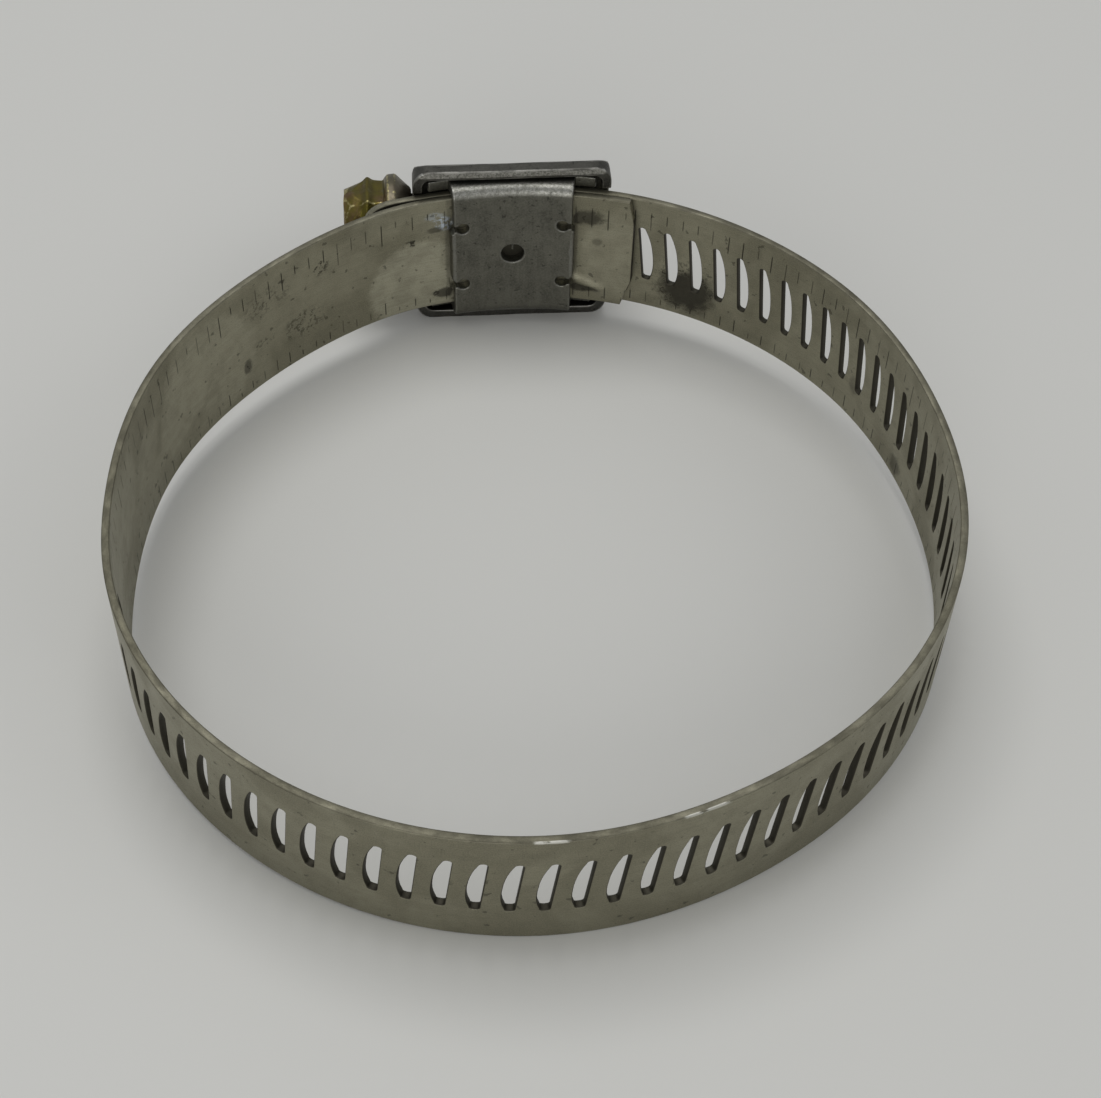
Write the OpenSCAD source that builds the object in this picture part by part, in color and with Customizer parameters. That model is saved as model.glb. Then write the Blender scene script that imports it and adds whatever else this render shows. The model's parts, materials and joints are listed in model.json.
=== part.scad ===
// Worm-drive hose clamp with a perforated band, standing on its edge.
// The ring axis is Z, the origin is the ring centre at half the band's width, and the housing is on +Y.
// The band is one strip of sheet; it is divided here into short rigid lengths that hinge on each other,
// so that it can close up as the worm pulls the perforated end through the housing.

/* [Band] */
// Radius of the hose or pipe that the seat lengths of the band lie on
seat_r = 34.3; // [30:0.1:45]
// Width of the band
band_w = 12.7; // [12:0.1:13]
// Thickness of the band
band_t = 0.65; // [0.5:0.01:0.7]
// Gap between two neighbouring lengths of the band
length_gap = 0.16; // [0.1:0.02:0.3]

/* [Slots] */
// Distance from one slot to the next along the band, which is also the worm's pitch
slot_pitch = 2.54; // [2.4:0.01:2.7]
// Height of a slot across the band
slot_h = 6.1; // [5:0.1:6.5]
// Lean of a slot, which follows the worm's lead angle
slot_lean = 7; // [5:0.5:9]
// Distance of a slot's straight side from its centre line
slot_straight = 0.6; // [0.5:0.05:0.7]
// Distance of a slot's bowed side from its centre line, at mid height
slot_bow = 0.75; // [0.65:0.05:0.85]
// Radius of a slot's bowed side
slot_bow_r = 5.15; // [4.8:0.05:8]

/* [Worm screw] */
// Distance of the worm's axis outside the seat radius
worm_out = 5.7; // [5.6:0.05:5.9]
// Crest radius of the worm thread
crest_r = 3.45; // [3.3:0.05:3.5]
// Core radius of the worm
core_r = 2.6; // [2.3:0.05:2.7]
// Width across the flats of the hexagon head
hex_af = 7; // [6.3:0.1:7.2]
// Length of the hexagon head
hex_len = 3.9; // [3:0.1:6]
// Radius of the collar behind the head
collar_r = 4.55; // [4.2:0.05:4.6]
// Width of the screwdriver slot
driver_w = 1.2; // [0.8:0.1:1.6]
// Depth of the screwdriver slot
driver_d = 1.7; // [1:0.1:2.5]

/* [Housing] */
// Half the length of the housing along the worm
house_x = 9.35; // [9.2:0.05:10]
// Half the height of the housing across the band
house_z = 8.9; // [8.8:0.05:9.5]
// Sheet thickness of the housing
house_t = 0.9; // [0.8:0.05:1]
// Corner radius of the housing's tray
house_corner = 1.6; // [1.2:0.1:2.5]

/* [Saddle] */
// Sheet thickness of the saddle
saddle_t = 1; // [0.8:0.05:1.05]
// Half the length of the saddle's plate
saddle_x = 5.6; // [5:0.1:6]
// Half the length of the saddle's locking heads
head_x = 7.9; // [7:0.1:8]
// Diameter of the hole in the middle of the saddle
saddle_hole = 2.2; // [1:0.1:3]

/* [Hidden] */
$fn = 96;

band_colour = [0.44, 0.43, 0.38];
dark_colour = [0.28, 0.27, 0.25];
gold_colour = [0.55, 0.42, 0.2];

seat_mid = seat_r + band_t / 2;
layer_gap = 0.1;

// The channel through the housing is an arc about this centre, so the band can slide along it.
channel_y = 2.4;
saddle_in = seat_r + 0.3 - channel_y;
inner_r = saddle_in + saddle_t + 0.02 + band_t / 2;
outer_r = inner_r + band_t + layer_gap;
worm_y = seat_r + worm_out;
journal_r = 1.6;
bearing_gap = 0.1;

// Slot centres along the outer layer, counted from the middle of the housing towards +X.
slot_0 = 0.37;
land_after = 1.3;
tail_slots = [for (k = [-4:13]) slot_0 + k * slot_pitch];
tail_tip = -13.8;
free_end = 11.8;
tail_end = slot_0 + 13 * slot_pitch + land_after;

function deg(arc, r) = arc / r * 180 / PI;
function polar(a, r) = [r * cos(a), r * sin(a)];
function dist(p) = sqrt(p[0] * p[0] + p[1] * p[1]);
function dir(p) = atan2(p[1], p[0]);
function channel_point(arc, r) = [0, channel_y] + polar(90 - deg(arc, r), r);

// Slot pitches in each perforated length, slots cut in it, and how far its middle and its far hinge lie
// outside the seat. The perforation stops three pitches short of the last length's end.
pitches = [6, 6, 6, 6, 6, 6, 6, 6, 4];
slots = [6, 6, 6, 6, 6, 6, 6, 6, 1];
mid_out = [0.5, 0, 0, 0, 0.42, 1.22, 1.48, 1.15, 0.42];
end_out = [0, 0, 0, 0, 0.88, 1.42, 1.42, 0.8, 0];
hinge_s0 = channel_point(tail_end, outer_r);
function len_s(i) = pitches[i] * slot_pitch;
function ang_s(i) = i == 0 ? dir(hinge_s0) : ang_s(i - 1) - deg(len_s(i - 1), seat_mid + mid_out[i - 1]);
function hinge_s(i) = i == 0 ? hinge_s0 : polar(ang_s(i), seat_mid + end_out[i - 1]);
function middle_s(i) = polar((ang_s(i) + ang_s(i + 1)) / 2, seat_mid + mid_out[i]);

// The plain lengths run from the housing to the end of the perforated ones.
plain_start = 105;
plain_end = ang_s(9) + 360;
plain_ang = [plain_start, 119, 133, (133 + plain_end) / 2, plain_end];
plain_out = [1.215, 0.52, 0, 0, 0];
plain_mid = [0.95, 0.17, 0, 0];
hinge_p0 = [0, channel_y] + polar(plain_start, inner_r);
function hinge_p(i) = i == 0 ? hinge_p0 : polar(plain_ang[i], seat_mid + plain_out[i]);
function middle_p(i) = polar((plain_ang[i] + plain_ang[i + 1]) / 2, seat_mid + plain_mid[i]);

// Centre of the circle through three points.
function centre(p, q, s) =
  let (
    a = q - p, b = s - p, d = 2 * (a[0] * b[1] - a[1] * b[0]),
    aa = a[0] * a[0] + a[1] * a[1], bb = b[0] * b[0] + b[1] * b[1]
  )
  p + [(b[1] * aa - a[1] * bb) / d, (a[0] * bb - b[0] * aa) / d];

// Part of a ring wall about the Z axis through c, from angle a to angle b.
module arc_wall(c, r_in, r_out, a, b, z0, z1) {
  translate([c[0], c[1], 0]) rotate([0, 0, a]) rotate_extrude(angle = b - a, $fn = 240)
    translate([r_in, z0]) square([r_out - r_in, z1 - z0]);
}

// Strip inside the housing, on an arc about the channel's centre.
module channel_strip(r, a, b) {
  arc_wall([0, channel_y], r - band_t / 2, r + band_t / 2, a, b, -band_w / 2, band_w / 2);
}

// Cutter for one slot: straight side towards the band's free end, bowed side away from it.
module slot_cut(c, r, a) {
  translate([c[0], c[1], 0]) rotate([0, 0, a]) translate([r, 0, 0]) rotate([-slot_lean, 0, 0])
    intersection() {
      translate([0, slot_bow_r - slot_bow, 0]) rotate([0, 90, 0])
        cylinder(r = slot_bow_r, h = 3, center = true);
      translate([-2, -3, -slot_h / 2]) cube([4, 3 + slot_straight, slot_h]);
    }
}

// One rigid length of band through q, between the hinge points p and s, with n slots counted from p.
module band_length(p, q, s, n) {
  c = centre(p, q, s);
  r = dist(p - c);
  a_p = dir(p - c);
  turn = dir(s - c) - a_p;
  sweep = turn > 180 ? turn - 360 : (turn < -180 ? turn + 360 : turn);
  gap = deg(length_gap / 2, r);
  low = min(a_p, a_p + sweep) + gap;
  high = max(a_p, a_p + sweep) - gap;
  difference() {
    arc_wall(c, r - band_t / 2, r + band_t / 2, low, high, -band_w / 2, band_w / 2);
    for (k = [0:1:n - 1]) slot_cut(c, r, a_p - deg((k + 1) * slot_pitch - land_after, r));
  }
}

module slotted(i) {
  color(band_colour) band_length(hinge_s(i), middle_s(i), hinge_s(i + 1), slots[i]);
}

module plain(i) {
  color(band_colour) band_length(hinge_p(i), middle_p(i), hinge_p(i + 1), 0);
}

module band_tail() {
  a_tip = 90 - deg(tail_tip, outer_r);
  a_end = 90 - deg(tail_end - length_gap / 2, outer_r);
  corner_cut = 0.75;
  color(band_colour) difference() {
    channel_strip(outer_r, a_end, a_tip);
    for (s = tail_slots) slot_cut([0, channel_y], outer_r, 90 - deg(s, outer_r));
    // Each corner of the tip is cut twice: steeply next to the end, then shallowly next to the edge.
    for (m = [0, 1], cut = [[0, corner_cut, 30], [corner_cut, 0, 60]])
      translate([0, channel_y, 0]) rotate([0, 0, a_tip]) mirror([0, 0, m])
        translate([outer_r, -cut[0], band_w / 2 - cut[1]]) rotate([-cut[2], 0, 0])
          translate([-2, -4, 0]) cube([4, 8, 3]);
  }
}

module band_anchored_end() {
  a_free = 90 - deg(free_end, inner_r);
  a_exit = plain_start - deg(length_gap / 2, inner_r);
  color(band_colour) difference() {
    channel_strip(inner_r, a_free, a_exit);
    for (m = [0, 1]) translate([0, channel_y, 0]) rotate([0, 0, a_free]) mirror([0, 0, m])
      translate([inner_r, 0, band_w / 2]) rotate([m == 0 ? -25 : -35, 0, 0])
        cube([3, 2.2, 6], center = true);
  }
}

// Flat U of the saddle: plate, two legs over the band's edges, and locking heads at the legs' ends.
module saddle() {
  leg_in = band_w / 2 + 0.2;
  leg_out = leg_in + saddle_t + 0.1;
  half = deg(saddle_x, saddle_in);
  head_half = deg(head_x, outer_r);
  head_in = outer_r + 0.15;
  leg_end = outer_r + 0.7;
  bend = 1.1;
  notch_x = 4.75;
  notch_z = 3.4;
  notch_r = 0.6;
  c = [0, channel_y];
  rim = concat(
    [[saddle_in + saddle_t, leg_in], [leg_end, leg_in], [leg_end, leg_out]],
    [for (k = [0:6]) [saddle_in + bend, leg_out - bend] + bend * [-sin(15 * k), cos(15 * k)]]
  );
  color(dark_colour) difference() {
    translate([0, channel_y, 0]) rotate([0, 0, 90 - head_half])
      rotate_extrude(angle = 2 * head_half, $fn = 240)
        polygon(concat(rim, [for (k = [len(rim) - 1:-1:0]) [rim[k][0], -rim[k][1]]]));
    arc_wall(c, saddle_in - 1, head_in, 90 + half, 90 + head_half + 2, -10, 10);
    arc_wall(c, saddle_in - 1, head_in, 90 - head_half - 2, 90 - half, -10, 10);
    for (sx = [-1, 1], sz = [-1, 1])
      translate([0, channel_y, 0]) rotate([0, 0, 90 + sx * deg(notch_x, saddle_in)])
        translate([saddle_in, 0, sz * notch_z]) {
          rotate([0, 90, 0]) cylinder(r = notch_r, h = 4, center = true);
          translate([-2, sx > 0 ? 0 : -3, -notch_r / 2]) cube([4, 3, notch_r]);
        }
    translate([0, channel_y + saddle_in, 0]) rotate([90, 0, 0])
      cylinder(d = saddle_hole, h = 4, center = true);
  }
}

// Block with rounded corners, seen along Y.
module round_block(hx, hz, r, y0, y1) {
  translate([-hx + r, y0, -hz]) cube([2 * hx - 2 * r, y1 - y0, 2 * hz]);
  translate([-hx, y0, -hz + r]) cube([2 * hx, y1 - y0, 2 * hz - 2 * r]);
  for (sx = [-1, 1], sz = [-1, 1]) translate([sx * (hx - r), y0, sz * (hz - r)])
    rotate([-90, 0, 0]) cylinder(r = r, h = y1 - y0);
}

// Round bar along the worm's axis.
module worm_bar(r, x0, x1) {
  translate([x0, worm_y, 0]) rotate([0, 90, 0]) cylinder(r = r, h = x1 - x0);
}

// Cone along the worm's axis.
module worm_cone(r0, r1, x0, x1) {
  translate([x0, worm_y, 0]) rotate([0, 90, 0]) cylinder(r1 = r0, r2 = r1, h = x1 - x0);
}

// Stamped cap: a shallow tray over the band's edges and an arch over the worm, closed at both ends.
module housing() {
  rim_y = channel_y + inner_r - band_t / 2 + 0.15;
  base_in = channel_y + outer_r + band_t / 2 + 0.4;
  base_out = base_in + house_t;
  arch_in = crest_r + 0.3;
  arch_out = arch_in + house_t;
  slope = 0.9;
  inner_x = house_x - house_t;
  channel_z = band_w / 2 + 0.2;
  color(dark_colour) difference() {
    union() {
      difference() {
        round_block(house_x, house_z, house_corner, rim_y, base_out);
        for (m = [0, 1]) mirror([0, 0, m]) translate([0, base_out, house_z]) rotate([45, 0, 0])
          cube([2 * house_x + 2, 2 * slope, 2 * slope], center = true);
        for (m = [0, 1]) mirror([m, 0, 0]) translate([house_x, base_out, 0]) rotate([0, 0, 45])
          cube([slope, slope, 2 * house_z + 2], center = true);
        round_block(inner_x, house_z - house_t, house_corner - 0.8, rim_y - 1, base_in);
        translate([-house_x - 1, rim_y - 1, -channel_z])
          cube([2 * house_x + 2, base_in - rim_y + 1, 2 * channel_z]);
      }
      translate([-house_x, base_in, -arch_out]) cube([2 * house_x, worm_y - base_in, 2 * arch_out]);
      worm_bar(arch_out, -house_x, house_x);
    }
    translate([-inner_x, base_in - 2, -arch_in]) cube([2 * inner_x, worm_y - base_in + 2, 2 * arch_in]);
    worm_bar(arch_in, -inner_x, inner_x);
    translate([-house_x - 1, base_in - 3, -channel_z]) cube([2 * house_x + 2, 3, 2 * channel_z]);
    worm_bar(core_r + bearing_gap, -house_x - 1, -house_x + 2);
    worm_bar(journal_r + bearing_gap, house_x - 2, house_x + 1);
  }
}

// Helical ridge of the worm. It is right-handed, and lies in the slots where it faces the band.
module worm_thread() {
  step = 12;
  half_turns = 2.6;
  rings = round(2 * half_turns * 360 / step);
  x_start = slot_0 + half_turns * slot_pitch;
  root = core_r - 0.15;
  function fade(i) = min(1, min(i, rings - i) / 8);
  function ring(i) =
    let (
      phi = i * step - half_turns * 360, x = x_start - i * step / 360 * slot_pitch,
      crest = root + 0.2 + (crest_r - root - 0.2) * fade(i),
      u = [-cos(phi), sin(phi)]
    )
    [
      [x - 0.58, root * u[0], root * u[1]], [x - 0.24, crest * u[0], crest * u[1]],
      [x + 0.24, crest * u[0], crest * u[1]], [x + 0.58, root * u[0], root * u[1]]
    ];
  points = [for (i = [0:rings]) each ring(i)];
  sides = [
    for (i = [0:rings - 1], j = [0:3])
      let (a = 4 * i + j, b = 4 * i + (j + 1) % 4)
      each [[a, b + 4, b], [a, a + 4, b + 4]]
  ];
  last = 4 * rings;
  caps = [[0, 1, 2, 3], [last + 3, last + 2, last + 1, last]];
  translate([0, worm_y, 0]) polyhedron(points, concat(sides, caps));
}

module worm_screw() {
  neck = -house_x - 0.15;
  collar_x = neck - 2.6;
  collar_bevel = 0.35;
  collar_flat = 0.75;
  cone_x = collar_x + collar_bevel + collar_flat;
  hex_x = collar_x - hex_len;
  hex_r = hex_af / 2;
  core_end = house_x - 1.35;
  color(gold_colour) union() {
    difference() {
      intersection() {
        translate([hex_x, worm_y, 0]) rotate([25, 0, 0]) rotate([0, 90, 0])
          cylinder(r = hex_r / cos(30), h = hex_len + 0.2, $fn = 6);
        worm_cone(hex_r - 0.1, hex_r + 5, hex_x, hex_x + 5.1);
      }
      translate([hex_x - 1, worm_y - 6, -driver_w / 2]) cube([driver_d + 1, 12, driver_w]);
    }
    worm_cone(collar_r - collar_bevel, collar_r, collar_x, collar_x + collar_bevel);
    worm_bar(collar_r, collar_x + collar_bevel, cone_x);
    worm_cone(collar_r, 3.2, cone_x, neck);
    worm_bar(core_r, neck, core_end);
    worm_bar(journal_r, core_end - 0.25, house_x - 0.1);
    worm_thread();
  }
}

housing();
saddle();
worm_screw();
band_anchored_end();
band_tail();
plain(0);  // band_plain_1
plain(1);  // band_plain_2
plain(2);  // band_plain_3
plain(3);  // band_plain_4
slotted(0);  // band_slotted_1
slotted(1);  // band_slotted_2
slotted(2);  // band_slotted_3
slotted(3);  // band_slotted_4
slotted(4);  // band_slotted_5
slotted(5);  // band_slotted_6
slotted(6);  // band_slotted_7
slotted(7);  // band_slotted_8
slotted(8);  // band_slotted_9
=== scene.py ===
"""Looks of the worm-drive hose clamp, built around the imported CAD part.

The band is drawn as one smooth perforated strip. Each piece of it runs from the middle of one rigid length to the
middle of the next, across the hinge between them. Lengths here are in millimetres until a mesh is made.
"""

import json
import math

import bmesh
import bpy
import numpy as np
from mathutils import Matrix, Vector, noise
from mathutils.kdtree import KDTree


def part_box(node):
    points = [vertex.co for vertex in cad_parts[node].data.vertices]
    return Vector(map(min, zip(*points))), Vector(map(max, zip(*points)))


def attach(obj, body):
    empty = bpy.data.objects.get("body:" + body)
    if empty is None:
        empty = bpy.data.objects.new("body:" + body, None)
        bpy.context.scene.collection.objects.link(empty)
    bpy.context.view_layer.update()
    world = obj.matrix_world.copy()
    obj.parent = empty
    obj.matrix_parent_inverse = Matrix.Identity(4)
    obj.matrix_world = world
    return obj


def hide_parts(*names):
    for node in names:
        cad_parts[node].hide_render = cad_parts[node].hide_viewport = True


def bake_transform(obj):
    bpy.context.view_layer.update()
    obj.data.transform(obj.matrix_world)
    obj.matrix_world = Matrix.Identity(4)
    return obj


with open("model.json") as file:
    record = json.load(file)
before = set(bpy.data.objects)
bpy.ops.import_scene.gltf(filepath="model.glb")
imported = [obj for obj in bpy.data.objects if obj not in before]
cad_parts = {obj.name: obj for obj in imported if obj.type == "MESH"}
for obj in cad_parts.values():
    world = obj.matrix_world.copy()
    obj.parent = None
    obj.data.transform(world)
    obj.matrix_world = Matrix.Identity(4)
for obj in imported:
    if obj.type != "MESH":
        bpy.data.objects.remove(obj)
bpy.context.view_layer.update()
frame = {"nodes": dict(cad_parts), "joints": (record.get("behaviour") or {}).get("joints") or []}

MM = 0.001
JOINTS = {j["name"]: j for j in frame["joints"]}


def joint_xy(name):
    """Place of a joint's axis across the ring, in millimetres."""
    return np.array(JOINTS[name]["pos_m"][:2]) / MM


def box_mm(node):
    """Lowest and highest corner of a CAD node, in millimetres."""
    low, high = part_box(node)
    return np.array(low) / MM, np.array(high) / MM


# ---------------------------------------------------------------- the band's middle line

BAND_T = 0.65
BEVEL = 0.09
HALF_W = box_mm("band_plain_1")[1][2]
PITCH = 2.54
SLOT_0 = 0.37
THREAD_SHIFT = 0.2
FIRST_SLOT, LAST_SLOT = -4, 62
OPEN_SLOT = 65.5
TAIL_TIP = -13.8
FREE_END = 11.8
FAR_RISE = 0.36
STEP = 0.05

CHANNEL = joint_xy("band_feed")
HINGES_S = [joint_xy(f"flex_slotted_{i}") for i in range(1, 10)]
HINGES_P = [joint_xy(f"flex_plain_{i}") for i in range(1, 5)]
OUTER_R = float(np.linalg.norm(HINGES_S[0] - CHANNEL))
INNER_R = float(np.linalg.norm(HINGES_P[0] - CHANNEL))
OPEN_END = np.array([
    box_mm("band_plain_4")[0][0] + BAND_T / 2,
    (box_mm("band_slotted_9")[1][1] + box_mm("band_plain_4")[0][1]) / 2,
])


def smooth_line(points, first_dir, last_dir, samples=240):
    """Points along a smooth curve through the given points, with the given directions at its ends."""
    p = np.array(points)
    h = np.linalg.norm(np.diff(p, axis=0), axis=1)
    n = len(p)
    a, b = np.zeros((n, n)), np.zeros((n, 2))
    a[0, 0] = a[-1, -1] = 1
    b[0], b[-1] = first_dir, last_dir
    for i in range(1, n - 1):
        a[i, i - 1], a[i, i], a[i, i + 1] = 1 / h[i - 1], 2 / h[i - 1] + 2 / h[i], 1 / h[i]
        b[i] = 3 * ((p[i] - p[i - 1]) / h[i - 1] ** 2 + (p[i + 1] - p[i]) / h[i] ** 2)
    m = np.linalg.solve(a, b)
    out = []
    for i in range(n - 1):
        t = np.linspace(0, 1, samples, endpoint=False)[:, None]
        out.append(
            (2 * t**3 - 3 * t**2 + 1) * p[i] + (t**3 - 2 * t**2 + t) * h[i] * m[i]
            + (3 * t**2 - 2 * t**3) * p[i + 1] + (t**3 - t**2) * h[i] * m[i + 1]
        )
    return np.vstack(out + [p[-1:]])


def clockwise(v):
    return np.array([v[1], -v[0]]) / np.linalg.norm(v)


def angle_at(point):
    d = point - CHANNEL
    return math.atan2(d[1], d[0])


def channel_arc(radius, start, end):
    """Points clockwise round the channel's centre, between two angles."""
    a = np.linspace(start, end, max(3, int(abs(end - start) * radius / STEP)))
    return CHANNEL + radius * np.stack([np.cos(a), np.sin(a)], 1)


start_angle = math.pi / 2 - TAIL_TIP / OUTER_R
free_angle = math.pi / 2 - FREE_END / INNER_R
outer_part = channel_arc(OUTER_R, start_angle, angle_at(HINGES_S[0]))
middle_part = smooth_line(
    [*HINGES_S, OPEN_END, *reversed(HINGES_P)],
    clockwise(HINGES_S[0] - CHANNEL),
    clockwise(HINGES_P[0] - CHANNEL),
)
inner_part = channel_arc(INNER_R, angle_at(HINGES_P[0]), free_angle)
LINE = np.vstack([outer_part[:-1], middle_part[:-1], inner_part])
LINE_Q = TAIL_TIP + np.r_[0, np.cumsum(np.linalg.norm(np.diff(LINE, axis=0), axis=1))]
_heading = np.unwrap(np.arctan2(np.gradient(LINE[:, 1]), np.gradient(LINE[:, 0])))
LINE_NORMAL = np.stack([-np.sin(_heading), np.cos(_heading)], 1)


def q_of(point):
    """Distance along the strip of the line's nearest place to a point."""
    return float(LINE_Q[np.argmin(np.linalg.norm(LINE - point, axis=1))])


def on_line(q, w=0.0):
    """Place across the ring at distance q along the strip, w outside its middle line."""
    x = np.interp(q, LINE_Q, LINE[:, 0]) + w * np.interp(q, LINE_Q, LINE_NORMAL[:, 0])
    y = np.interp(q, LINE_Q, LINE[:, 1]) + w * np.interp(q, LINE_Q, LINE_NORMAL[:, 1])
    return x, y


def slot_q(k):
    """Distance of slot k along the strip. The punching creeps a little ahead of the worm's pitch."""
    return SLOT_0 + k * PITCH + THREAD_SHIFT + float(np.interp(k, [13, OPEN_SLOT], [0, 0.4]))


def slot_rise(q):
    """Height of a slot's middle: the row climbs slightly from the housing to the far side."""
    x, y = on_line(q)
    return FAR_RISE * (0.5 - 0.5 * y / math.hypot(x, y))


Q_OPEN = slot_q(OPEN_SLOT)
Q_P = [q_of(p) for p in HINGES_P]
Q_ANCHOR = Q_P[0] + 2.6
Q_FREE = float(LINE_Q[-1])
Q_MID = Q_FREE - FREE_END

# ---------------------------------------------------------------- flat pattern of the strip

SIDE_SEGS, END_SEGS = 10, 6
FRAME_Z = 4.1
EDGE_ROWS = [5.3, HALF_W]
SIDE_Z = list(np.linspace(-FRAME_Z, FRAME_Z, SIDE_SEGS + 1))
ROWS = [-z for z in reversed(EDGE_ROWS)] + SIDE_Z + EDGE_ROWS

SLOT_LEAN = math.radians(6.4)
SLOT_HALF_H = 3.05
STRAIGHT_AT = -0.55
BOW_AT, BOW_Z, BOW_POWER = 0.64, -0.35, 2.5
TOP_W, BOTTOM_W = 0.66, 0.74
CAP_H = 0.24


class Sheet:
    """Flat mesh in (q, z) whose coincident corners are shared."""

    def __init__(self):
        self.points, self.index, self.faces = [], {}, []

    def add(self, q, z):
        key = (round(q, 4), round(z, 4))
        if key not in self.index:
            self.index[key] = len(self.points)
            self.points.append((q, z))
        return self.index[key]

    def quad_grid(self, columns):
        """columns: one list of (q, z) points for each column, bottom to top."""
        ids = [[self.add(*p) for p in column] for column in columns]
        for a, b in zip(ids, ids[1:]):
            for i in range(len(a) - 1):
                self.faces.append((a[i], b[i], b[i + 1], a[i + 1]))


def slot_outline():
    """Slot's edge, anticlockwise from the bottom of its straight side, as (q, z) about its middle."""
    top_z, bottom_z = SLOT_HALF_H - CAP_H, -SLOT_HALF_H + CAP_H
    pts = []

    def bow(z):
        reach = BOW_AT - STRAIGHT_AT
        if z > BOW_Z:
            return BOW_AT - (reach - TOP_W) * ((z - BOW_Z) / (top_z - BOW_Z)) ** BOW_POWER
        return BOW_AT - (reach - BOTTOM_W) * ((z - BOW_Z) / (bottom_z - BOW_Z)) ** BOW_POWER

    # bottom end, from the straight side to the bowed side
    middle = STRAIGHT_AT + BOTTOM_W / 2
    for i in range(END_SEGS + 1):
        a = math.pi * (1 - i / END_SEGS)
        c, s = math.cos(a), math.sin(a)
        pts.append((middle + BOTTOM_W / 2 * math.copysign(abs(c) ** 0.75, c), bottom_z - CAP_H * max(s, 0) ** 0.75))
    for i in range(1, SIDE_SEGS):
        z = bottom_z + (top_z - bottom_z) * i / SIDE_SEGS
        pts.append((bow(z), z))
    middle = STRAIGHT_AT + TOP_W / 2
    for i in range(END_SEGS + 1):
        a = math.pi * i / END_SEGS
        pts.append((middle + TOP_W / 2 * math.cos(a), top_z + CAP_H * math.sin(a)))
    for i in range(1, SIDE_SEGS):
        z = top_z + (bottom_z - top_z) * i / SIDE_SEGS
        pts.append((STRAIGHT_AT, z))
    return [(q - math.tan(SLOT_LEAN) * z, z) for q, z in pts]


def frame_outline(across):
    """Edge of the block round a slot, point for point with slot_outline."""
    bottom = [(q, -FRAME_Z) for q in across]
    right = [(across[-1], z) for z in SIDE_Z[1:-1]]
    top = [(q, FRAME_Z) for q in reversed(across)]
    return bottom + right + top + [(across[0], z) for z in reversed(SIDE_Z[1:-1])]


def slot_cell(sheet, k):
    q0, rise = slot_q(k), slot_rise(slot_q(k))
    across = list(np.linspace(slot_q(k - 0.5), slot_q(k + 0.5), END_SEGS + 1))
    hole = [sheet.add(q0 + q, z + rise) for q, z in slot_outline()]
    block = [sheet.add(q, z) for q, z in frame_outline(across)]
    n = len(hole)
    for i in range(n):
        j = (i + 1) % n
        sheet.faces.append((hole[i], block[i], block[j], hole[j]))
    sheet.quad_grid([[(q, FRAME_Z)] + [(q, z) for z in EDGE_ROWS] for q in across])
    sheet.quad_grid([[(q, -z) for z in reversed(EDGE_ROWS)] + [(q, -FRAME_Z)] for q in across])


def plain_run(sheet, q0, q1, step=1.1):
    count = max(1, math.ceil((q1 - q0) / step))
    sheet.quad_grid([[(q, z) for z in ROWS] for q in np.linspace(q0, q1, count + 1)])


def clipped_end(sheet, q0, q_end, top_cut, bottom_cut, step=0.25):
    """End of the strip with its corners cut off. Each cut is its reach along the strip and across it."""
    near = q_end - max(top_cut[0], bottom_cut[0])
    stations = [*np.arange(q0, near - step / 2, step), *np.linspace(near, q_end, 11)]
    rows = np.linspace(-1, 1, 45)
    columns = []
    for q in stations:
        top, bottom = (
            HALF_W - across * max(0, (q - q_end) / along + 1) for along, across in (top_cut, bottom_cut)
        )
        columns.append([(q, z * (top if z > 0 else bottom)) for z in rows])
    sheet.quad_grid(columns)


def rounded_tip(sheet, q_tip, q_end, radius=2.5, steps=9):
    """End of the strip with rounded corners."""
    angles = [math.pi / 2 * i / steps for i in range(steps + 1)]
    stations = [(q_tip + radius * (1 - math.cos(a)), HALF_W - radius + radius * math.sin(a)) for a in angles]
    stations.append((q_end, HALF_W))
    sheet.quad_grid([[(q, z * h / HALF_W) for z in ROWS] for q, h in stations])


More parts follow.
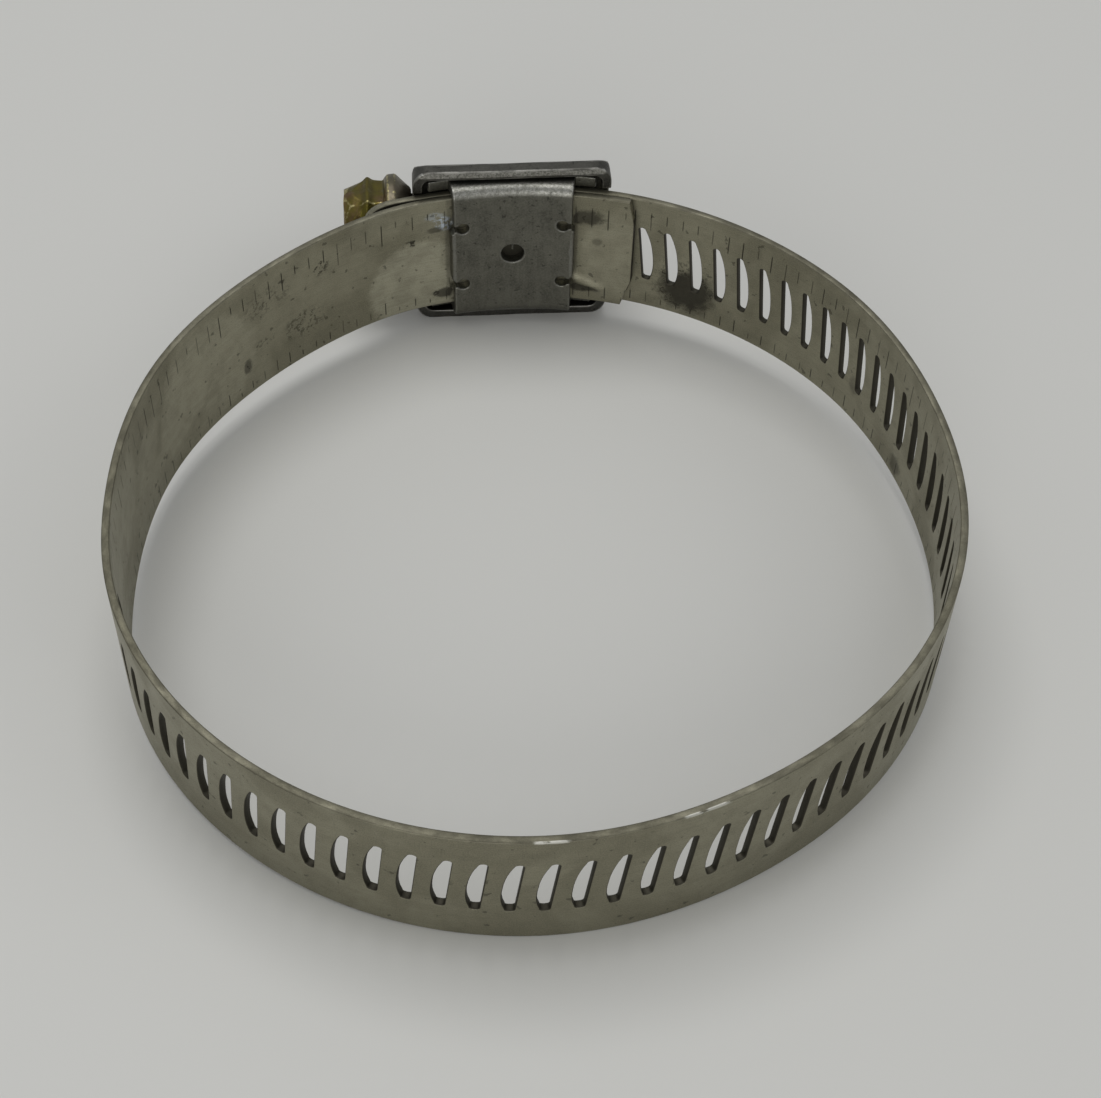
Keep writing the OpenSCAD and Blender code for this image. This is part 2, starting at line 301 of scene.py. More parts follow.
def thicken(sheet, name, seams, lift=None):
    """Makes a sheet-metal mesh with rounded edges from a flat pattern, which joins its neighbours at the seams."""
    pts = np.array(sheet.points)
    count = {}
    for f in sheet.faces:
        for a, b in zip(f, f[1:] + f[:1]):
            count[frozenset((a, b))] = count.get(frozenset((a, b)), 0) + 1
    rim, seam = [], []
    for f in sheet.faces:
        for a, b in zip(f, f[1:] + f[:1]):
            if count[frozenset((a, b))] == 1:
                on_seam = any(abs(pts[a][0] - s) < 1e-3 and abs(pts[b][0] - s) < 1e-3 for s in seams)
                (seam if on_seam else rim).append((a, b))
    inward = np.zeros_like(pts)
    for a, b in rim:
        d = pts[b] - pts[a]
        n = np.array([-d[1], d[0]]) / np.linalg.norm(d)
        inward[a] += n
        inward[b] += n
    for i in range(len(pts)):
        size = np.linalg.norm(inward[i])
        if size > 0:
            inward[i] /= size
    at_seam = {i for e in seam for i in e}
    for i in at_seam:
        if np.linalg.norm(inward[i]) > 0:
            inward[i] = [0, math.copysign(1, inward[i][1])]

    half, s45 = BAND_T / 2, BEVEL * (1 - math.sin(math.pi / 4))
    levels = [(BEVEL, half), (s45, half - s45), (0, half - BEVEL)]
    levels += [(offset, -w) for offset, w in reversed(levels)]
    verts, strip = [], []

    def put(i, offset, w):
        face_share = 0.5 + 0.5 * offset / BEVEL if np.any(inward[i]) else 1.0
        q, z = pts[i] + inward[i] * offset
        x, y = on_line(q, w + (lift(q, z) if lift else 0.0))
        verts.append((x * MM, y * MM, z * MM))
        strip.append((q, z, math.copysign(face_share, w)))
        return len(verts) - 1

    on_rim = sorted({i for e in rim for i in e})
    outer = [put(i, BEVEL if np.any(inward[i]) else 0, half) for i in range(len(pts))]
    inner = [put(i, BEVEL if np.any(inward[i]) else 0, -half) for i in range(len(pts))]
    ring = {i: [outer[i]] + [put(i, o, w) for o, w in levels[1:-1]] + [inner[i]] for i in on_rim}
    faces = [tuple(outer[i] for i in f)[::-1] for f in sheet.faces]
    faces += [tuple(inner[i] for i in f) for f in sheet.faces]
    for a, b in rim:
        for k in range(len(levels) - 1):
            faces.append((ring[a][k], ring[b][k], ring[b][k + 1], ring[a][k + 1]))
    for at in seams:
        # the cross-section where the strip joins its neighbour
        line = sorted((i for i in at_seam if abs(pts[i][0] - at) < 1e-3), key=lambda i: pts[i][1])
        low, high = ring[line[0]], ring[line[-1]]
        faces.append((
            *[outer[i] for i in line], *high[1:-1], *[inner[i] for i in reversed(line)], *reversed(low[1:-1])
        ))
    me = bpy.data.meshes.new(name)
    me.from_pydata(verts, [], faces)
    data = me.attributes.new("strip", "FLOAT_VECTOR", "POINT")
    data.data.foreach_set("vector", np.array(strip, np.float32).ravel())
    bm = bmesh.new()
    bm.from_mesh(me)
    bmesh.ops.recalc_face_normals(bm, faces=bm.faces)
    flat = {outer[i] for i in on_rim} | {inner[i] for i in on_rim}
    for f in bm.faces:
        f.smooth = True
    for e in bm.edges:
        a, b = e.verts[0].index, e.verts[1].index
        if a in flat and b in flat:
            e.smooth = False
        if len(e.link_faces) == 2 and e.calc_face_angle(0) > math.radians(50):
            e.smooth = False
    bm.to_mesh(me)
    bm.free()
    ob = bpy.data.objects.new(name, me)
    bpy.context.scene.collection.objects.link(ob)
    return ob


# ---------------------------------------------------------------- materials

class Look:
    """A material's nodes, with short calls for the ones used here. Values are sockets or plain numbers."""

    def __init__(self, name):
        self.material = bpy.data.materials.new(name)
        self.material.use_nodes = True
        self.tree = self.material.node_tree
        self.shader = self.tree.nodes["Principled BSDF"]

    def node(self, kind, inputs=(), **settings):
        n = self.tree.nodes.new(kind)
        for key, value in settings.items():
            setattr(n, key, value)
        for key, value in dict(inputs).items():
            self.put(n.inputs[key], value)
        return n

    def put(self, socket, value):
        if isinstance(value, bpy.types.NodeSocket):
            self.tree.links.new(value, socket)
        else:
            socket.default_value = value

    def math(self, operation, a, b=0.0, c=0.0):
        return self.node("ShaderNodeMath", {0: a, 1: b, 2: c}, operation=operation).outputs[0]

    def place(self):
        return self.node("ShaderNodeTexCoord").outputs["Object"]

    def strip(self):
        return self.node("ShaderNodeAttribute", attribute_name="strip").outputs["Vector"]

    def split(self, vector):
        return self.node("ShaderNodeSeparateXYZ", {0: vector}).outputs

    def stretched(self, vector, scale):
        return self.node("ShaderNodeVectorMath", {0: vector, 1: scale}, operation="MULTIPLY").outputs[0]

    def noise(self, vector, scale, detail=4.0, rough=0.6, twist=0.0):
        inputs = {"Vector": vector, "Scale": scale, "Detail": detail, "Roughness": rough, "Distortion": twist}
        return self.node("ShaderNodeTexNoise", inputs).outputs["Fac"]

    def random(self, value):
        return self.node("ShaderNodeTexWhiteNoise", {"W": value}, noise_dimensions="1D").outputs["Value"]

    def step(self, value, low, high, to_low=0.0, to_high=1.0):
        """Smooth rise from to_low to to_high as value goes from low to high."""
        inputs = {"Value": value, "From Min": low, "From Max": high, "To Min": to_low, "To Max": to_high}
        n = self.node("ShaderNodeMapRange", inputs, interpolation_type="SMOOTHSTEP")
        return n.outputs["Result"]

    def mix(self, share, a, b):
        n = self.node("ShaderNodeMix", data_type="RGBA")
        self.put(n.inputs[0], share)
        self.put(n.inputs[6], a if isinstance(a, bpy.types.NodeSocket) else (*a, 1))
        self.put(n.inputs[7], b if isinstance(b, bpy.types.NodeSocket) else (*b, 1))
        return n.outputs[2]

    def shorthand(self, operation):
        return lambda a, b: self.math(operation, a, b)

    def spot(self, x, y, at, size, ragged, strength, soft):
        """Ragged-edged patch round a point, from 0 outside to strength inside."""
        dx = self.math("MULTIPLY", self.math("SUBTRACT", x, at[0]), 1 / size[0])
        dy = self.math("MULTIPLY", self.math("SUBTRACT", y, at[1]), 1 / size[1])
        d = self.math("SQRT", self.math("ADD", self.math("MULTIPLY", dx, dx), self.math("MULTIPLY", dy, dy)))
        frayed = self.math("ADD", d, self.math("MULTIPLY", self.math("SUBTRACT", ragged, 0.5), 4 * soft))
        return self.step(frayed, 1 + soft, 1 - soft, 0.0, strength)

    def finish(self, colour, roughness, bump, depth):
        """bump is a height from 0 to 1, and depth what 1 stands for, in metres."""
        self.put(self.shader.inputs["Base Color"], colour)
        self.put(self.shader.inputs["Roughness"], roughness)
        self.shader.inputs["Metallic"].default_value = 1.0
        relief = self.node("ShaderNodeBump", {"Height": bump, "Distance": depth, "Strength": 1.0})
        self.put(self.shader.inputs["Normal"], relief.outputs[0])
        return self.material


def from_middle(distance):
    """Distance along the strip of a place on its anchored end, counted from the middle of the housing."""
    return Q_MID + distance


def at_angle(degrees):
    """Distance along the strip of the ring's place at an angle from +X."""
    a = math.radians(degrees)
    return q_of(np.array([math.cos(a), math.sin(a)]) * 35)


BAND_LIGHT = (0.345, 0.328, 0.243)
BAND_DARK = (0.277, 0.262, 0.19)
BAND_DARKER = (0.155, 0.146, 0.105)
BAND_PALE = (0.54, 0.52, 0.405)
# colour of the painted glints on the rim
BAND_GLINT = (0.85, 0.84, 0.78)
# colour of the painted highlight on the stake dent
BAND_BLUE_HIGHLIGHT = (0.56, 0.62, 0.69)
# dark colour of the stains, and of the painted shade in the slots, in gaps and beside and behind the saddle
STAIN_AND_SHADE = (0.05, 0.046, 0.036)
ROLL_STEP = 1.59
# marks on the inner face: angle from +X, height, half sizes and strength
STAINS = [
    (62.4, -3.2, (2.7, 2.3), 0.9),
    (137.3, -3.0, (0.5, 0.75), 0.65),
    (29.6, -2.4, (0.7, 1.1), 0.35),
    (15.9, -5.0, (1.0, 1.0), 0.55),
]
MOTTLES = [
    (125.5, -2.2, (2.3, 1.6), 0.6), (121.6, 3.3, (0.9, 0.9), 0.8), (132.0, 3.0, (3.2, 1.6), 0.35),
    (133.5, -1.5, (1.4, 0.6), 0.45), (105.6, 1.9, (1.0, 0.4), 0.9), (63.0, -2.6, (3.4, 3.2), 0.7),
]
# lighter patches on the inner face: painted reflection
PALE_REFLECTION_PATCHES = [(104.6, -3.3, (5.3, 5.3), 0.85), (147.2, -0.6, (7.2, 6.4), 0.3)]
# marks on the anchored end: distance from its middle, height, half sizes and strength
# mostly stains; the mark at (-7.5, 3.0) under the bright dent, the two tall lines beside the saddle's sides and the
# spot behind its middle hole are painted shade
END_STAINS_AND_SHADE = [
    (7.3, 3.9, (1.6, 0.8), 0.75), (-6.7, -4.9, (1.0, 0.55), 0.8), (7.0, -4.8, (1.5, 0.45), 0.8),
    (8.3, 1.1, (0.5, 0.45), 0.4), (-6.2, 0.0, (0.35, 5.5), 0.35), (6.1, -0.5, (0.3, 5.0), 0.35),
    (-7.5, 3.0, (0.8, 0.35), 0.6), (0.0, 0.0, (2.2, 2.2), 1.0),
]
END_PALE = [(9.6, -0.6, (2.9, 5.2), 0.28)]
# painted highlights on the bulge of the stake dent by the saddle's upper-left notch: distance from the end's middle,
# height, half sizes and strength
END_DENT_HIGHLIGHTS = [(-6.6, 3.6, (0.85, 0.7), 1.0), (-7.5, 4.5, (0.9, 0.5), 0.45)]
# painted glints: bright places on the outer edge of the far side's rim, where light catches it: angle from +X and
# half length
RIM_GLINTS = [(266.2, 0.3), (268.2, 0.5), (284.2, 0.4), (287.2, 0.7)]


def band_steel():
    look = Look("band_steel_look")
    add, sub, mul, low = (look.shorthand(op) for op in ("ADD", "SUBTRACT", "MULTIPLY", "MINIMUM"))
    where = look.strip()
    q, z, side = look.split(where)[:3]
    inside = look.step(side, 0.2, -0.2)
    blotch = look.noise(where, 0.085, 3, 0.5, 0.6)
    cloud = look.noise(where, 0.5, 5, 0.65, 0.3)
    grain = look.noise(where, 9.0, 3, 0.7)
    rolled = look.noise(look.stretched(where, (0.25, 7.0, 1.0)), 1.0, 4, 0.6)
    ragged = look.noise(where, 1.3, 5, 0.75)

    def marks(places, along, soft=0.35):
        total = 0.0
        for at, height, size, strength in places:
            total = add(look.spot(q, z, (along(at), height), size, ragged, strength, soft), total)
        return total

    colour = look.mix(look.step(blotch, 0.44, 0.56), BAND_DARK, BAND_LIGHT)
    # lighter patches: painted reflection on the inner face, with the paler place on the anchored end
    pale = mul(add(marks(PALE_REFLECTION_PATCHES, at_angle, 0.1), marks(END_PALE, from_middle, 0.1)), inside)
    colour = look.mix(pale, colour, BAND_PALE)
    colour = look.mix(look.step(cloud, 0.35, 0.75, 0.0, 0.38), colour, BAND_DARKER)
    colour = look.mix(look.step(rolled, 0.3, 0.7, 0.0, 0.22), colour, BAND_DARKER)
    colour = look.mix(look.step(grain, 0.48, 0.62, 0.0, 0.45), colour, BAND_LIGHT)
    colour = look.mix(look.step(grain, 0.48, 0.36, 0.0, 0.45), colour, BAND_DARKER)
    # painted highlight: bright bluish fragments on that stake dent
    glitter = look.step(look.noise(where, 2.2, 3, 0.7), 0.40, 0.58)
    dent_highlight = mul(mul(marks(END_DENT_HIGHLIGHTS, from_middle), inside), glitter)
    colour = look.mix(dent_highlight, colour, BAND_BLUE_HIGHLIGHT)

    fleck = look.step(look.noise(where, 2.6, 3, 0.6), 0.52, 0.60)
    # stains, with the painted shade among the anchored end's marks
    stains_and_shade = add(marks(STAINS, at_angle), marks(END_STAINS_AND_SHADE, from_middle))
    stains_and_shade = add(stains_and_shade, mul(marks(MOTTLES, at_angle), fleck))
    specks = look.step(look.noise(where, 1.15, 2, 0.5), 0.665, 0.72, 0.0, 0.5)

    # short scratches across the strip, evenly spaced, from the rolls that curved it
    turn = mul(q, 1 / ROLL_STEP)
    number = look.math("FLOOR", turn)
    middle = look.math("MULTIPLY_ADD", look.random(number), 0.1, 0.45)
    thin = look.step(look.math("ABSOLUTE", sub(look.math("FRACT", turn), middle)), 0.05, 0.02)
    reach = look.math("MULTIPLY_ADD", look.random(add(number, 0.37)), 1.9, 0.6)
    upper = mul(look.step(z, 5.2, 4.9), look.step(add(z, reach), 4.8, 5.1))
    lower = mul(look.step(z, -6.0, -5.8), look.step(sub(z, mul(reach, 0.6)), -5.7, -6.0))
    faint = look.math("MULTIPLY_ADD", look.random(add(number, 0.71)), 0.5, 0.45)
    ticks = mul(mul(thin, add(upper, lower)), faint)

    # the cut faces: painted shade on the slot walls and their bevels, and a darker, duller rim
    cut = look.step(look.math("ABSOLUTE", side), 0.97, 0.7)
    in_slot = mul(cut, look.step(look.math("ABSOLUTE", z), 4.6, 4.2))
    on_rim = mul(cut, look.step(look.math("ABSOLUTE", z), 6.0, 6.2))
    dark = low(add(add(mul(stains_and_shade, inside), specks), mul(ticks, inside)), 0.92)
    # painted shade in the gap between the tail's tip and the band under it
    under_tip = mul(look.step(side, -0.6, -0.9), look.step(q, -6.0, -7.5))
    over_end = mul(look.step(side, 0.6, 0.9), look.step(q, Q_MID - 14.2, Q_MID - 13.2))
    dark = look.math("MAXIMUM", dark, mul(look.math("MAXIMUM", under_tip, over_end), 0.85))
    # painted shade on the slot walls
    dark = look.math("MAXIMUM", dark, mul(in_slot, 0.93))
    dark = look.math("MAXIMUM", dark, mul(on_rim, look.step(cloud, 0.3, 0.7, 0.3, 0.6)))
    colour = look.mix(dark, colour, STAIN_AND_SHADE)
    # painted highlight: bright glints on the outer bevel of the far side's rim
    glint = 0.0
    for degrees, reach_q in RIM_GLINTS:
        off = look.math("ABSOLUTE", sub(q, at_angle(degrees)))
        glint = add(look.step(add(off, mul(ragged, 1.6)), reach_q + 1.15, reach_q + 0.45), glint)
    glint = low(mul(mul(glint, look.step(z, 6.1, 6.25)), look.step(side, 0.3, 0.55)), 0.55)
    colour = look.mix(glint, colour, BAND_GLINT)

    roughness = add(look.step(blotch, 0.4, 0.6, 0.44, 0.36), mul(add(dark, cloud), 0.16))
    # a little glossier where the highlight and glints are painted
    roughness = sub(roughness, mul(add(dent_highlight, glint), 0.1))
    height = sub(add(mul(grain, 0.35), mul(rolled, 0.35)), mul(ticks, 0.8))
    return look.finish(colour, roughness, height, 0.00003)


BAND_STEEL = band_steel()


def dark_steel(name, base, light, edge_wear, wear_and_highlight_boxes, painted_shade_boxes=None):
    """Dull stamped steel with small pits. The last two arguments give boxes, as (axis, from, to, soft) lists in
    metres: inside those of the first the colour is made bright, as wear with a painted highlight, and inside those
    of the second it is painted nearly black, as painted shade."""
    look = Look(name)
    add, sub, mul, low = (look.shorthand(op) for op in ("ADD", "SUBTRACT", "MULTIPLY", "MINIMUM"))
    where = look.place()
    place = look.split(where)
    edge = look.node("ShaderNodeAttribute", attribute_name="edge").outputs["Fac"]
    cloud = look.noise(where, 450, 4, 0.6, 0.4)
    grain = look.noise(where, 5500, 3, 0.7)
    streak = look.noise(look.stretched(where, (1500, 1500, 260)), 1.0, 3, 0.6)
    pits = look.step(look.noise(where, 2300, 2, 0.6), 0.62, 0.72)
    sparkle = look.step(look.noise(where, 3800, 3, 0.8), 0.36, 0.66, 0.25, 1.0)

    def box(sides):
        share = 1.0
        for axis, start, stop, soft in sides:
            ends = look.step(place[axis], start - soft, start), look.step(place[axis], stop + soft, stop)
            share = mul(share, mul(*ends))
        return share

    brightening = look.step(add(edge, mul(sub(cloud, 0.5), 1.6)), 0.6, 1.05, 0.0, edge_wear)
    # boxes made bright: wear with a painted highlight
    for sides, strength in wear_and_highlight_boxes:
        brightening = add(brightening, mul(mul(box(sides), sparkle), strength))
    brightening = low(brightening, 1.0)
    colour = look.mix(look.step(cloud, 0.3, 0.7), base, tuple(0.72 * c for c in base))
    colour = look.mix(look.step(streak, 0.4, 0.7, 0.0, 0.3), colour, tuple(1.5 * c for c in base))
    colour = look.mix(look.step(grain, 0.4, 0.62, 0.0, 0.35), colour, tuple(1.6 * c for c in base))
    colour = look.mix(mul(pits, 0.6), colour, tuple(0.3 * c for c in base))
    colour = look.mix(brightening, colour, light)
    # boxes painted nearly black: painted shade
    if painted_shade_boxes:
        colour = look.mix(mul(box(painted_shade_boxes), 0.9), colour, (0.02, 0.019, 0.016))
    roughness = sub(look.step(cloud, 0.3, 0.7, 0.42, 0.54), mul(brightening, 0.16))
    height = sub(mul(grain, 0.5), mul(pits, 0.5))
    return look.finish(colour, roughness, height, 0.00003)


def gold_zinc():
    """Yellow chromate on zinc: brown and olive patches, bright where it is rubbed."""
    look = Look("gold_zinc_look")
    where = look.place()
    edge = look.node("ShaderNodeAttribute", attribute_name="edge").outputs["Fac"]
    patch = look.noise(where, 260, 3, 0.6, 0.8)
    cloud = look.noise(where, 1500, 4, 0.7)
    colour = look.mix(look.step(patch, 0.42, 0.58), (0.19, 0.125, 0.062), (0.145, 0.125, 0.025))
    colour = look.mix(look.step(cloud, 0.3, 0.7, 0.0, 0.6), colour, (0.09, 0.065, 0.03))
    along = look.split(where)[0]
    dull = look.step(look.math("ADD", along, look.math("MULTIPLY", patch, 0.002)), -0.0112, -0.0106, 0.0, 0.75)
    colour = look.mix(dull, colour, (0.15, 0.14, 0.11))
    brightening = look.math("ADD", edge, look.math("MULTIPLY", look.math("SUBTRACT", cloud, 0.5), 2.4))
    brightening = look.step(brightening, 0.75, 1.25, 0.0, 0.75)
    colour = look.mix(brightening, colour, (0.55, 0.49, 0.24))
    roughness = look.math("SUBTRACT", look.step(cloud, 0.3, 0.7, 0.34, 0.5), look.math("MULTIPLY", brightening, 0.12))
    return look.finish(colour, roughness, cloud, 0.00004)


HOUSING_STEEL = dark_steel(
    "housing_steel_look", (0.078, 0.076, 0.067), (0.46, 0.45, 0.41), 0.45,
    # bright line along the rim's front ridge: wear with a painted highlight
    [([(0, -0.0086, 0.0086, 0.0003), (1, 0.0355, 0.0360, 0.0001), (2, 0.0083, 0.0087, 0.0001)], 0.9)],
    # the tray's inside painted nearly black: painted shade in the hollow
    [(0, -0.0083, 0.0083, 0.0002), (1, 0.0361, 0.0372, 0.0002), (2, -0.0079, 0.0079, 0.0002)],
)
SADDLE_STEEL = dark_steel(
    "saddle_steel_look", (0.137, 0.134, 0.112), (0.66, 0.655, 0.61), 0.14,
    # the top bend made bright: a painted highlight with some wear
    [([(0, -0.0057, 0.0057, 0.0002), (1, 0.0344, 0.0355, 0.0004), (2, 0.0073, 0.0076, 0.0006)], 0.42)],
)
GOLD_ZINC = gold_zinc()

# ---------------------------------------------------------------- stamped parts and screw

COARSE = 1.0
SHARP_CORNER = math.radians(25)
EDGE_WEAR = 0.28


def slab(bm, r0, r1, x0, x1, z0, z1, steps=4):
    """Adds a closed bent plate about the channel's centre, in millimetres."""
    section = [(r0, z0), (r1, z0), (r1, z1), (r0, z1)]
    rings = []
    for a in np.linspace(math.pi / 2 - x0 / r0, math.pi / 2 - x1 / r0, steps + 1):
        c, s = math.cos(a), math.sin(a)
        rings.append([bm.verts.new((CHANNEL[0] + r * c, CHANNEL[1] + r * s, z)) for r, z in section])
    for a, b in zip(rings, rings[1:]):
        for i in range(4):
            bm.faces.new((a[i], a[(i + 1) % 4], b[(i + 1) % 4], b[i]))
    bm.faces.new(rings[0][::-1])
    bm.faces.new(rings[-1])


def worked_copy(name, node, voxel, rounds, material, body, extra=None, shape=None):
    """A piece with a CAD node's form, its edges rounded as stamping and wear leave them.

    extra adds to the form, and shape moves its points. The "edge" attribute is 1 at the node's sharp corners.
    """
    bm = bmesh.new()
    bm.from_mesh(frame["nodes"][node].data)
    bmesh.ops.scale(bm, vec=(1 / MM,) * 3, verts=bm.verts)
    bmesh.ops.remove_doubles(bm, verts=bm.verts, dist=1e-3)
    if extra:
        extra(bm)
    corners = [
        e.verts[0].co.lerp(e.verts[1].co, t)
        for e in bm.edges
        if len(e.link_faces) == 2 and e.calc_face_angle_signed(0) > SHARP_CORNER
        for t in np.linspace(0, 1, 2 + int(e.calc_length() / 0.15))
    ]
    me = bpy.data.meshes.new(name)
    bm.to_mesh(me)
    bm.free()
    rough = bpy.data.objects.new(name + "_rough", me)
    bpy.context.scene.collection.objects.link(rough)
    remesh = rough.modifiers.new("remesh", "REMESH")
    remesh.mode, remesh.voxel_size = "VOXEL", voxel * COARSE
    smooth = rough.modifiers.new("smooth", "SMOOTH")
    smooth.factor, smooth.iterations = 0.5, rounds
    bpy.context.view_layer.update()
    made = bpy.data.meshes.new_from_object(rough.evaluated_get(bpy.context.evaluated_depsgraph_get()))
    bpy.data.objects.remove(rough)
    tree = KDTree(len(corners))
    for i, co in enumerate(corners):
        tree.insert(co, i)
    tree.balance()
    near = [math.exp(-((tree.find(v.co)[2] / EDGE_WEAR) ** 2)) for v in made.vertices]
    made.attributes.new("edge", "FLOAT", "POINT").data.foreach_set("value", np.array(near, np.float32))
    if shape:
        for v in made.vertices:
            v.co = shape(v.co)
    made.transform(Matrix.Scale(MM, 4))
    made.materials.clear()
    made.materials.append(material)
    made.polygons.foreach_set("use_smooth", [True] * len(made.polygons))
    made.name = name
    ob = bpy.data.objects.new(name, made)
    bpy.context.scene.collection.objects.link(ob)
    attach(ob, body)
    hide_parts(node)
    return ob


def uneven(amount, grain):
    """Gives a point a small push that varies from place to place."""
    def move(p):
        return p + amount * noise.noise_vector(p / grain)
    return move


SADDLE_IN = INNER_R - BAND_T / 2 - 1.02


def saddle_tabs(bm):
    """Between its notches the plate is a little longer, and the hole in its middle has a burr."""
    for side in (-1, 1):
        slab(bm, SADDLE_IN, SADDLE_IN + 1.0, side * 5.0, side * 5.85, -2.85, 2.85)
    slab(bm, SADDLE_IN + 0.15, SADDLE_IN + 0.45, -0.15, 0.12, 0.35, 1.3)


def dress_screw(p):
    """Turned bevel and a burr on the hexagon's end, an uneven surface, and the thread lined up with the slots."""
    out = Vector((0, p.y - WORM_Y, p.z))
    from_end = p.x - HEX_X
    if from_end < HEX_LEN and out.length > 1.5:
        out.length = min(out.length, 3.15 + 0.4 * max(from_end, 0))
    burr = 0.35 * math.exp(-((from_end - 2.3) / 0.35) ** 2) * (out.length > 3.3 and out.z > 2)
    in_thread = min(max((out.length - 2.65) / 0.2, 0), 1) * (abs(p.x) < 8.2)
    moved = Vector((p.x + THREAD_SHIFT * in_thread, WORM_Y + out.y, out.z + burr))
    return moved + 0.12 * noise.noise_vector(p / 1.8)


WORM_Y = joint_xy("screw_turn")[1]
HEX_X, HEX_LEN = box_mm("worm_screw")[0][0], 3.9


worked_copy("housing_look", "housing", 0.1, 3, HOUSING_STEEL, "housing_body", shape=uneven(0.05, 4.0))
worked_copy(
    "saddle_look", "saddle", 0.09, 3, SADDLE_STEEL, "housing_body", saddle_tabs, uneven(0.03, 2.5)
)
worked_copy("worm_screw_look", "worm_screw", 0.12, 3, GOLD_ZINC, "screw", shape=dress_screw)

# ---------------------------------------------------------------- pieces of the band

def strip_piece(name, q0, q1, seams, bodies, replaced=(), sheet=None, lift=None):
    """One piece of the band. bodies is one body, which holds the piece, or the two about its hinge, neither of which
    holds it.
    """
    if sheet is None:
        sheet = Sheet()
        slots = range(FIRST_SLOT, LAST_SLOT + 1)
        cells = [k for k in slots if slot_q(k - 0.5) > q0 - 1e-6 and slot_q(k + 0.5) < q1 + 1e-6]
        for k in cells:
            slot_cell(sheet, k)
        plain_from = slot_q(cells[-1] + 0.5) if cells else q0
        if q1 - plain_from > 1e-6:
            plain_run(sheet, plain_from, q1)
    ob = thicken(sheet, name, seams, lift)
    ob.data.materials.append(BAND_STEEL)
    if len(bodies) == 1:
        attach(ob, bodies[0])
    else:
        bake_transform(ob)
    if replaced:
        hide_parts(*replaced)
    return ob


# tail: three slots short of its hinge, so that the next piece spans the hinge
TAIL_END = slot_q(10.5)
tail = Sheet()
rounded_tip(tail, TAIL_TIP, slot_q(FIRST_SLOT - 0.5))
for k in range(FIRST_SLOT, 11):
    slot_cell(tail, k)


def tip_lift(q, z):
    """The tip springs away from the band under it, by less where the screw's collar is close."""
    first = max(0, (BEND_FROM - q) / (BEND_FROM - COLLAR_Q)) ** 2
    last = max(0, (COLLAR_Q - q) / (COLLAR_Q - TAIL_TIP)) ** 2
    return 0.2 * first + 0.75 * last


BEND_FROM, COLLAR_Q = -6.0, -11.2
strip_piece("band_tail_look", TAIL_TIP, TAIL_END, [TAIL_END], ["tail"], ["band_tail"], tail, tip_lift)

# perforated pieces, each six slots long but the last two
cuts = [slot_q(10.5 + 6 * i) for i in range(9)] + [slot_q(63.5)]
for i in range(9):
    parent = "tail" if i == 0 else f"slotted_{i}"
    strip_piece(
        f"band_slotted_look_{i + 1}", cuts[i], cuts[i + 1], [cuts[i], cuts[i + 1]],
        [parent, f"slotted_{i + 1}"], [f"band_slotted_{i + 1}"],
    )
strip_piece("band_slotted_look_end", cuts[9], Q_OPEN, [cuts[9], Q_OPEN], ["slotted_9"])

# plain pieces, from the open end back to the housing
ends = [Q_OPEN, Q_P[3], Q_P[2], Q_P[1], Q_P[0]]
middles = [(a + b) / 2 for a, b in zip(ends, ends[1:])]
strip_piece("band_plain_look_end", Q_OPEN, middles[0], [Q_OPEN, middles[0]], ["plain_4"])
for i, name in enumerate(["plain_4", "plain_3", "plain_2"]):
    child = f"plain_{3 - i}"
    strip_piece(
        f"band_plain_look_{4 - i}", middles[i], middles[i + 1], [middles[i], middles[i + 1]],
        [name, child], [f"band_{name}"],
    )
strip_piece(
    "band_plain_look_1", middles[3], Q_ANCHOR, [middles[3], Q_ANCHOR], ["plain_1", "housing_body"], ["band_plain_1"]
)

# stake marks beside the saddle's notches: from and to, as (along, height) from its middle, half width and depth
DENTS = [
    ((-6.4, 3.4), (-7.2, 3.9), 0.5, 0.38),
    ((6.2, 3.4), (7.3, 3.9), 0.7, 0.14),
    ((-6.1, -3.6), (-8.0, -5.4), 0.4, 0.36),
    ((6.1, -3.6), (8.6, -4.7), 0.4, 0.36),
]


def dent(q, z):
    """Inward push of the anchored end at a place on it."""
    p, push = np.array([q - Q_MID, z]), 0.0
    for a, b, wide, deep in DENTS:
        a, b = np.array(a), np.array(b)
        t = np.clip((p - a) @ (b - a) / ((b - a) @ (b - a)), 0, 1)
        push -= deep * math.exp(-((np.linalg.norm(p - a - t * (b - a)) / wide) ** 2)) * (1 - 0.5 * t)
    clear = np.clip((abs(p[0]) - 5.6) / 0.4, 0, 1)
    return push * clear


anchored = Sheet()
clipped_end(anchored, Q_ANCHOR, Q_FREE, (0.55, 2.4), (0.95, 3.2))
strip_piece(
    "band_anchored_look", Q_ANCHOR, Q_FREE, [Q_ANCHOR], ["housing_body"], ["band_anchored_end"], anchored, dent
)

# ---------------------------------------------------------------- camera, floor and light

camera_data = bpy.data.cameras.new("camera")
camera_data.sensor_width = 36
camera_data.lens = 62.59
camera = bpy.data.objects.new("camera", camera_data)
bpy.context.scene.collection.objects.link(camera)
PITCH_DOWN, YAW, ROLL = math.radians(48.69), math.radians(-5.6), 0.0324
turn = Matrix.Rotation(YAW, 3, "Z")
forward = turn @ Vector((0, math.cos(PITCH_DOWN), -math.sin(PITCH_DOWN)))
right0 = turn @ Vector((1, 0, 0))
up0 = turn @ Vector((0, math.sin(PITCH_DOWN), math.cos(PITCH_DOWN)))
right = math.cos(ROLL) * right0 + math.sin(ROLL) * up0
up = -math.sin(ROLL) * right0 + math.cos(ROLL) * up0
camera_turn = Matrix((right, up, -forward)).transposed().to_4x4()
camera.matrix_world = Matrix.Translation(Vector((-9.38, -107.80, 119.50)) * MM) @ camera_turn
camera_data.clip_start = 0.001
bpy.context.scene.camera = camera

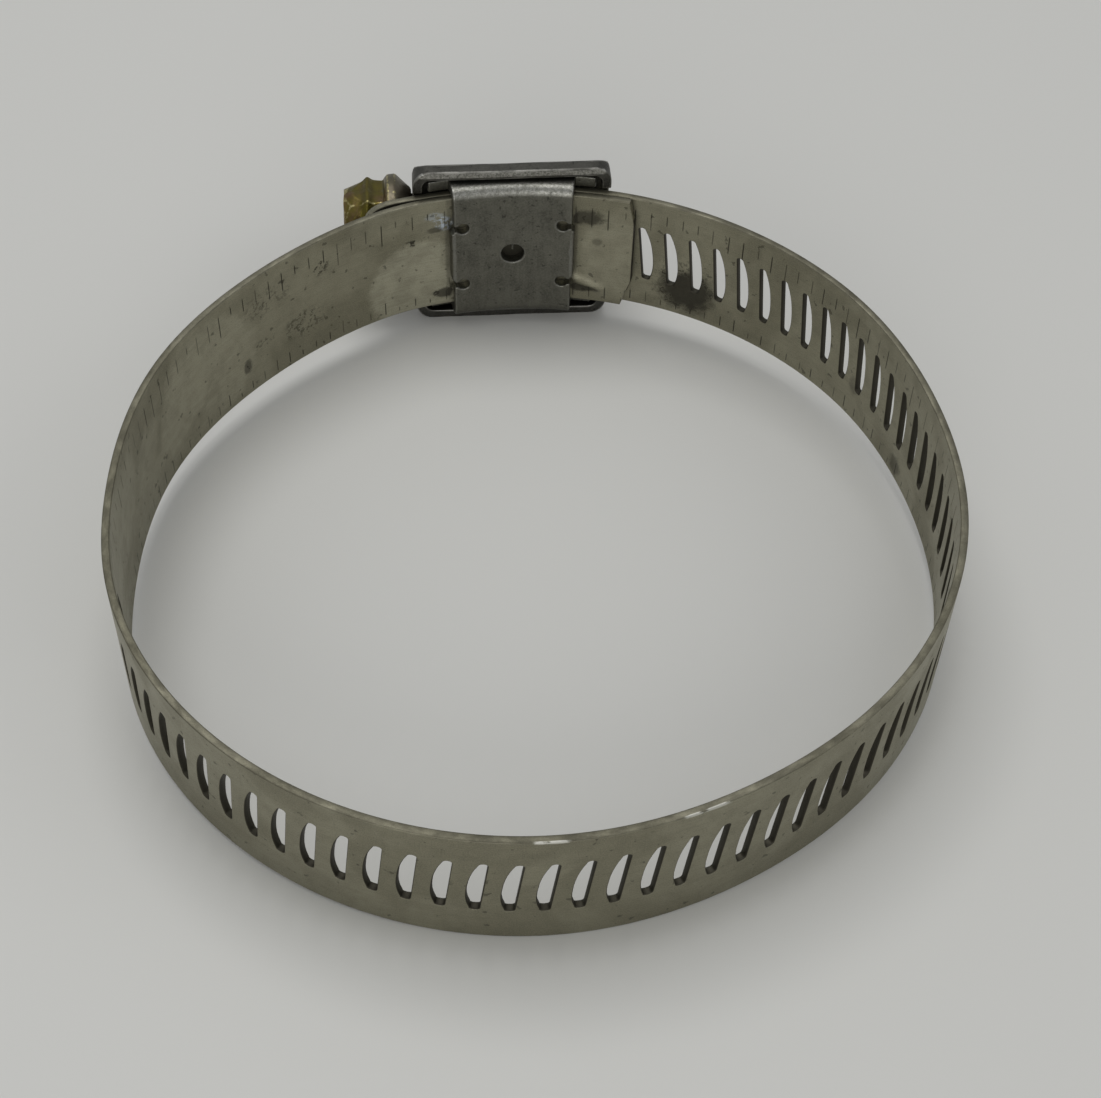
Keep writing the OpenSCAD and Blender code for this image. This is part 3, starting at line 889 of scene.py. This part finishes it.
# the clamp rests on the housing's lower rim and on the far side of the band, so the floor tilts in its frame
back_y, back_z = box_mm("housing")[0][1] + 1.4, box_mm("housing")[0][2]
front_y, front_z = box_mm("band_slotted_5")[0][1], box_mm("band_slotted_5")[0][2]
slope = (back_z - front_z) / (back_y - front_y)
FLOOR_HALF = 0.9
floor_mesh = bpy.data.meshes.new("floor")
floor_z = front_z * MM - slope * front_y * MM - 0.00003
floor_corners = [(sx * FLOOR_HALF, sy * FLOOR_HALF) for sx, sy in ((-1, -1), (1, -1), (1, 1), (-1, 1))]
floor_mesh.from_pydata([(x, y, floor_z + slope * y) for x, y in floor_corners], [], [(0, 1, 2, 3)])
floor = bpy.data.objects.new("floor", floor_mesh)
bpy.context.scene.collection.objects.link(floor)
FLOOR_PAINT = bpy.data.materials.new("floor_paint")
FLOOR_PAINT.use_nodes = True
FLOOR_PAINT.node_tree.nodes["Principled BSDF"].inputs["Base Color"].default_value = (0.62, 0.615, 0.585, 1)
FLOOR_PAINT.node_tree.nodes["Principled BSDF"].inputs["Roughness"].default_value = 0.55
floor_mesh.materials.append(FLOOR_PAINT)


def soft_light(name, place, aim, size, power):
    data = bpy.data.lights.new(name, "AREA")
    data.shape, data.size, data.energy = "DISK", size, power
    light = bpy.data.objects.new(name, data)
    turned = (Vector(place) - Vector(aim)).to_track_quat("Z", "Y").to_matrix().to_4x4()
    light.matrix_world = Matrix.Translation(place) @ turned
    bpy.context.scene.collection.objects.link(light)


soft_light("overhead", (-0.1, 0.25, 0.75), (0, 0, 0), 0.6, 2.5)
soft_light("side", (0.7, -0.2, 0.5), (0, 0, 0), 0.5, 0.6)
soft_light("front", (-0.15, -0.8, 0.35), (0, 0, 0), 0.5, 2.0)
world = bpy.data.worlds.new("studio")
world.use_nodes = True
world.node_tree.nodes["Background"].inputs["Color"].default_value = (0.86, 0.88, 0.9, 1)
world.node_tree.nodes["Background"].inputs["Strength"].default_value = 0.42
bpy.context.scene.world = world
bpy.context.scene.view_settings.view_transform = "Standard"
